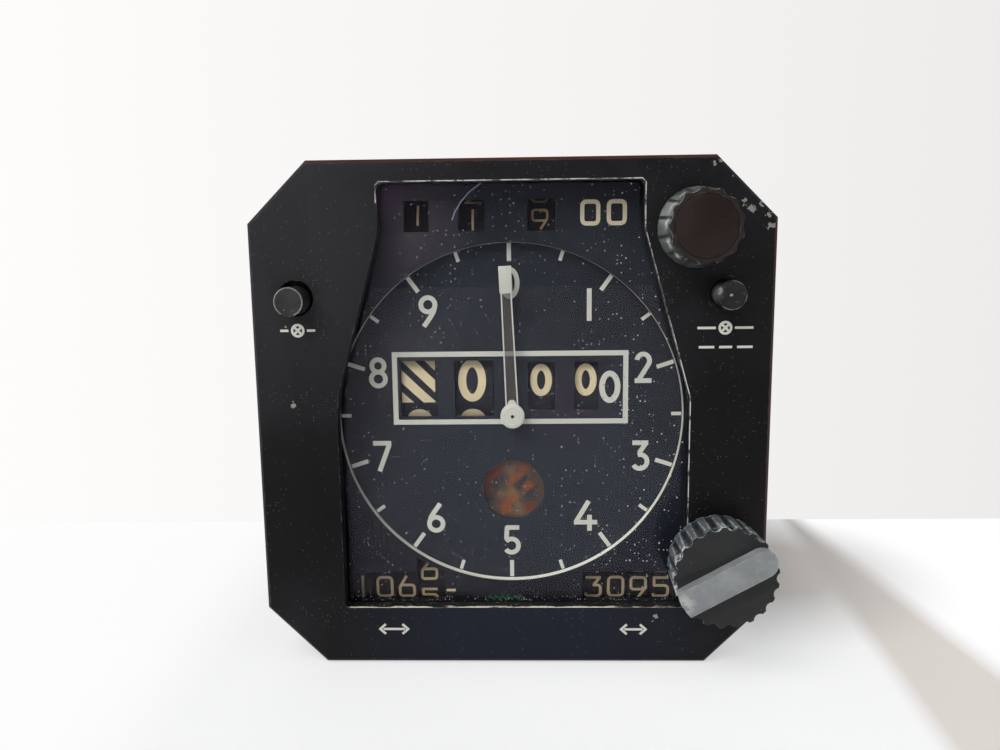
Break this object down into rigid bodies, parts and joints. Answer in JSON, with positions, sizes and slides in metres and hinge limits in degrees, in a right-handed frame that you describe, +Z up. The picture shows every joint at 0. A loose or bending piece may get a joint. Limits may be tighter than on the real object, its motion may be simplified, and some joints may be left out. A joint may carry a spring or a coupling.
{
  "type": "altimeter",
  "caption": "Servo altimeter for an instrument panel, with a pointer, drum counters, two setting knobs, two push buttons and a deep sealed case.",
  "frame": {"origin": "centre of the rear face of the bezel, where it seats on the instrument panel", "axes": "+Y runs into the instrument away from the dial, +Z is up, +X is to the right as seen from the front"},
  "size_m": [0.106, 0.2081, 0.106],
  "materials": {
    "black_enamel": "satin black enamel, worn at the edges",
    "black_rubber": "matt black rubber",
    "clear_glass": "clear, dusty",
    "dial_paint": "matt blue-grey with off-white markings",
    "lamp_glass": "frosted",
    "plate_aluminium": "machined",
    "shaft_steel": "ground",
    "pinion_plastic": "matt",
    "motor_steel": "dull",
    "capsule_bronze": "dull",
    "board_laminate": "matt laminate",
    "lens_amber": "dark amber, unlit",
    "switch_plastic": "matt",
    "union_steel": "passivated",
    "pointer_enamel": "off-white enamel",
    "gear_brass": "satin",
    "drum_black": "matt black with cream numbers",
    "knob_plastic": "satin black, worn at the edges",
    "flag_paint": "matt, orange, beige and grey bands"
  },
  "bodies": {
    "case": {"bezel": "black_enamel", "window_gasket": "black_rubber", "cover_glass": "clear_glass", "glass_clamp_frame": "black_enamel", "dial_mask": "dial_paint", "dial_plate": "dial_paint", "lamps": "lamp_glass", "front_plate": "plate_aluminium", "rear_plate": "plate_aluminium", "frame_pillars": "plate_aluminium", "counter_brackets": "plate_aluminium", "counter_axles": "shaft_steel", "transfer_pinions": "pinion_plastic", "servo_motor": "motor_steel", "capsule_bracket": "plate_aluminium", "capsule_stack": "capsule_bronze", "pick_off_core": "motor_steel", "amplifier_boards": "board_laminate", "alert_lamp_holder": "plate_aluminium", "alert_lens": "lens_amber", "bushes": "capsule_bronze", "left_button_spring": "shaft_steel", "right_button_spring": "shaft_steel", "button_switches": "switch_plastic", "case_shell": "black_enamel", "cover_seal": "black_rubber", "rear_cover": "black_enamel", "cover_screws": "shaft_steel", "static_union": "union_steel", "connector_shell": "union_steel", "connector_insert": "switch_plastic", "flag_solenoid": "motor_steel"},
    "pointer_train": {"pointer": "pointer_enamel", "pointer_shaft": "shaft_steel", "pointer_gear": "gear_brass"},
    "servo_train": {"servo_pinion": "gear_brass"},
    "altitude_drive": {"altitude_layshaft": "gear_brass"},
    "tens": {"tens_drum": "drum_black"},
    "hundreds": {"hundreds_drum": "drum_black"},
    "thousands": {"thousands_drum": "drum_black"},
    "ten_thousands": {"ten_thousands_drum": "drum_black"},
    "selector_knob": {"selector_collar": "knob_plastic", "selector_sleeve": "shaft_steel"},
    "selector_hundreds": {"selector_hundreds_drum": "drum_black"},
    "selector_thousands": {"selector_thousands_drum": "drum_black"},
    "selector_ten_thousands": {"selector_ten_thousands_drum": "drum_black"},
    "pressure_setting": {"pressure_knob": "knob_plastic", "pressure_shaft": "shaft_steel"},
    "pressure_drive": {"pressure_layshaft": "gear_brass"},
    "left_1": {"left_drum_1": "drum_black"},
    "left_2": {"left_drum_2": "drum_black"},
    "left_3": {"left_drum_3": "drum_black"},
    "left_4": {"left_drum_4": "drum_black"},
    "right_1": {"right_drum_1": "drum_black"},
    "right_2": {"right_drum_2": "drum_black"},
    "right_3": {"right_drum_3": "drum_black"},
    "right_4": {"right_drum_4": "drum_black"},
    "test": {"test_button": "knob_plastic"},
    "cancel": {"cancel_button": "knob_plastic"},
    "flag": {"warning_flag": "flag_paint"}
  },
  "joints": [
    {"name": "pointer_turn", "type": "hinge", "parent": "case", "child": "pointer_train", "pos_m": [0, 0, 0], "axis": [0, 1, 0], "continuous": true},
    {"name": "servo_turn", "type": "hinge", "parent": "case", "child": "servo_train", "pos_m": [0.01125, 0.03563, 0.015], "axis": [0, 1, 0], "continuous": true},
    {"name": "altitude_drive_turn", "type": "hinge", "parent": "case", "child": "altitude_drive", "pos_m": [0.01125, 0.03563, 0.015], "axis": [1, 0, 0], "continuous": true},
    {"name": "tens_turn", "type": "hinge", "parent": "case", "child": "tens", "pos_m": [0.0158, 0.0169, 0.0055], "axis": [1, 0, 0], "continuous": true},
    {"name": "hundreds_turn", "type": "hinge", "parent": "case", "child": "hundreds", "pos_m": [0.0062, 0.0169, 0.0055], "axis": [1, 0, 0], "continuous": true},
    {"name": "thousands_turn", "type": "hinge", "parent": "case", "child": "thousands", "pos_m": [-0.0082, 0.0169, 0.0055], "axis": [1, 0, 0], "continuous": true},
    {"name": "ten_thousands_turn", "type": "hinge", "parent": "case", "child": "ten_thousands", "pos_m": [-0.02005, 0.0169, 0.0055], "axis": [1, 0, 0], "continuous": true},
    {"name": "selector_knob_turn", "type": "hinge", "parent": "case", "child": "selector_knob", "pos_m": [0.0371, 0, 0.0389], "axis": [0, 1, 0], "range_deg": [-13680, 4284]},
    {"name": "selector_hundreds_turn", "type": "hinge", "parent": "case", "child": "selector_hundreds", "pos_m": [0.0064, 0.0099, 0.0389], "axis": [1, 0, 0], "range_deg": [-4284, 13680]},
    {"name": "selector_thousands_turn", "type": "hinge", "parent": "case", "child": "selector_thousands", "pos_m": [-0.0082, 0.0099, 0.0389], "axis": [1, 0, 0], "range_deg": [-428.4, 1368]},
    {"name": "selector_ten_thousands_turn", "type": "hinge", "parent": "case", "child": "selector_ten_thousands", "pos_m": [-0.0199, 0.0099, 0.0389], "axis": [1, 0, 0], "range_deg": [-42.84, 136.8]},
    {"name": "pressure_knob_turn", "type": "hinge", "parent": "case", "child": "pressure_setting", "pos_m": [0.0424, 0, -0.0301], "axis": [0, 1, 0], "range_deg": [-90, 11430]},
    {"name": "pressure_drive_turn", "type": "hinge", "parent": "case", "child": "pressure_drive", "pos_m": [0.0424, 0.02197, -0.0301], "axis": [1, 0, 0], "range_deg": [-90, 11430]},
    {"name": "left_1_turn", "type": "hinge", "parent": "case", "child": "left_1", "pos_m": [-0.0341, 0.0099, -0.039], "axis": [1, 0, 0], "range_deg": [-11.43, 0.09]},
    {"name": "left_2_turn", "type": "hinge", "parent": "case", "child": "left_2", "pos_m": [-0.0291, 0.0099, -0.039], "axis": [1, 0, 0], "range_deg": [-114.3, 0.9]},
    {"name": "left_3_turn", "type": "hinge", "parent": "case", "child": "left_3", "pos_m": [-0.0241, 0.0099, -0.039], "axis": [1, 0, 0], "range_deg": [-1143, 9]},
    {"name": "left_4_turn", "type": "hinge", "parent": "case", "child": "left_4", "pos_m": [-0.0191, 0.0099, -0.039], "axis": [1, 0, 0], "range_deg": [-11430, 90]},
    {"name": "right_1_turn", "type": "hinge", "parent": "case", "child": "right_1", "pos_m": [0.0176, 0.0099, -0.039], "axis": [1, 0, 0], "range_deg": [-34.29, 0.27]},
    {"name": "right_2_turn", "type": "hinge", "parent": "case", "child": "right_2", "pos_m": [0.0226, 0.0099, -0.039], "axis": [1, 0, 0], "range_deg": [-342.9, 2.7]},
    {"name": "right_3_turn", "type": "hinge", "parent": "case", "child": "right_3", "pos_m": [0.0276, 0.0099, -0.039], "axis": [1, 0, 0], "range_deg": [-3429, 27]},
    {"name": "right_4_turn", "type": "hinge", "parent": "case", "child": "right_4", "pos_m": [0.0326, 0.0099, -0.039], "axis": [1, 0, 0], "range_deg": [-34290, 270]},
    {"name": "test_press", "type": "slide", "parent": "case", "child": "test", "axis": [0, 1, 0], "range_m": [0, 0.002], "stiffness_N_per_m": 400, "springref_m": -0.0015, "deforming": ["left_button_spring"]},
    {"name": "cancel_press", "type": "slide", "parent": "case", "child": "cancel", "axis": [0, 1, 0], "range_m": [0, 0.002], "stiffness_N_per_m": 400, "springref_m": -0.0015, "deforming": ["right_button_spring"]},
    {"name": "flag_swing", "type": "hinge", "parent": "case", "child": "flag", "pos_m": [0.008, 0.0007, -0.027], "axis": [0, 1, 0], "range_deg": [0, 75], "stiffness_Nm_per_rad": 0.0005, "springref_deg": -34.38}
  ],
  "couplings": [
    {"joint": "servo_turn", "follows": "pointer_turn", "ratio": -4},
    {"joint": "altitude_drive_turn", "follows": "pointer_turn", "ratio": -4},
    {"joint": "tens_turn", "follows": "pointer_turn", "ratio": 10},
    {"joint": "hundreds_turn", "follows": "pointer_turn", "ratio": 1},
    {"joint": "thousands_turn", "follows": "pointer_turn", "ratio": 0.1},
    {"joint": "ten_thousands_turn", "follows": "pointer_turn", "ratio": 0.01},
    {"joint": "selector_hundreds_turn", "follows": "selector_knob_turn", "ratio": -1},
    {"joint": "selector_thousands_turn", "follows": "selector_knob_turn", "ratio": -0.1},
    {"joint": "selector_ten_thousands_turn", "follows": "selector_knob_turn", "ratio": -0.01},
    {"joint": "pressure_drive_turn", "follows": "pressure_knob_turn", "ratio": 1},
    {"joint": "left_1_turn", "follows": "pressure_knob_turn", "ratio": -0.001},
    {"joint": "left_2_turn", "follows": "pressure_knob_turn", "ratio": -0.01},
    {"joint": "left_3_turn", "follows": "pressure_knob_turn", "ratio": -0.1},
    {"joint": "left_4_turn", "follows": "pressure_knob_turn", "ratio": -1},
    {"joint": "right_1_turn", "follows": "pressure_knob_turn", "ratio": -0.003},
    {"joint": "right_2_turn", "follows": "pressure_knob_turn", "ratio": -0.03},
    {"joint": "right_3_turn", "follows": "pressure_knob_turn", "ratio": -0.3},
    {"joint": "right_4_turn", "follows": "pressure_knob_turn", "ratio": -3}
  ]
}
